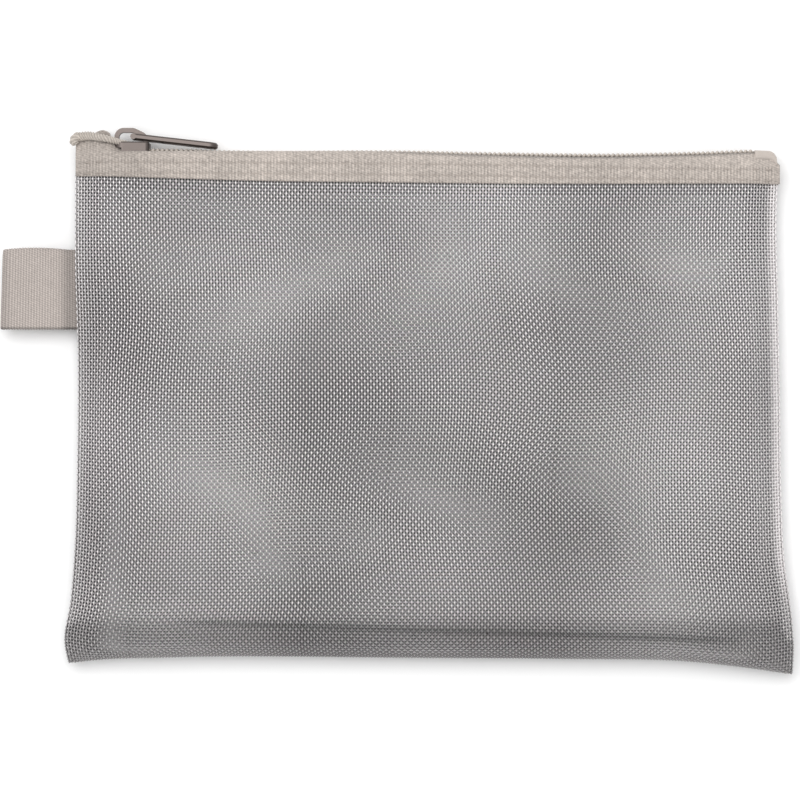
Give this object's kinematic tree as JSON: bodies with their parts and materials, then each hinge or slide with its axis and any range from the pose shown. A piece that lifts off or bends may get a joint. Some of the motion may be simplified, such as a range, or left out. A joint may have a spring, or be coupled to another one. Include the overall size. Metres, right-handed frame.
{
  "type": "mesh zip document wallet",
  "caption": "Flat see-through mesh wallet folded from one piece, with ribbed zip tapes, a coil zip with slider and pull, and a webbing hang tab in one side seam.",
  "frame": {"origin": "middle of the back panel, on the plane that the wallet lies on", "axes": "+X to the right seen from the front, +Y towards the zip, +Z out of the front panel"},
  "size_m": [0.1631, 0.1114, 0.0127],
  "materials": {
    "mesh": "open plain-weave nylon mesh, grey, slightly shiny",
    "tape": "woven polyester zip tape, greige, fine cross ribs",
    "coil": "dyed nylon coil",
    "metal": "gunmetal plated die casting, satin",
    "webbing": "ribbed woven webbing, greige"
  },
  "bodies": {
    "pouch": {"mesh_body": "mesh", "left_seam": "mesh", "right_seam": "mesh", "front_tape_ends": "tape", "back_tape": "tape", "front_coil_ends": "coil", "back_coil": "coil", "zip_end_tab": "tape", "hang_tab_tails": "webbing"},
    "front_lip": {"front_tape": "tape", "front_coil": "coil"},
    "slider": {"slider_body": "metal"},
    "pull": {"pull_tab": "metal"},
    "tab": {"hang_tab": "webbing"}
  },
  "joints": [
    {"name": "slider_slide", "type": "slide", "parent": "pouch", "child": "slider", "axis": [1, 0, 0], "range_m": [0, 0.122], "deforming": ["front_tape", "front_coil", "front_coil_ends", "back_coil"]},
    {"name": "lip_open", "type": "hinge", "parent": "pouch", "child": "front_lip", "pos_m": [0, 0.0455, 0.0092], "axis": [1, 0, 0], "range_deg": [0, 60]},
    {"name": "pull_swing", "type": "hinge", "parent": "slider", "child": "pull", "pos_m": [-0.0602, 0.05515, 0.005], "axis": [0, 0, 1], "range_deg": [0, 150]},
    {"name": "tab_fold", "type": "hinge", "parent": "pouch", "child": "tab", "pos_m": [-0.07356, 0.0243, 0.005], "axis": [0, 1, 0], "range_deg": [-12, 85], "stiffness_Nm_per_rad": 0.002}
  ],
  "couplings": [
    {"joint": "lip_open", "follows": "slider_slide", "rad_per_m": 8.58}
  ]
}
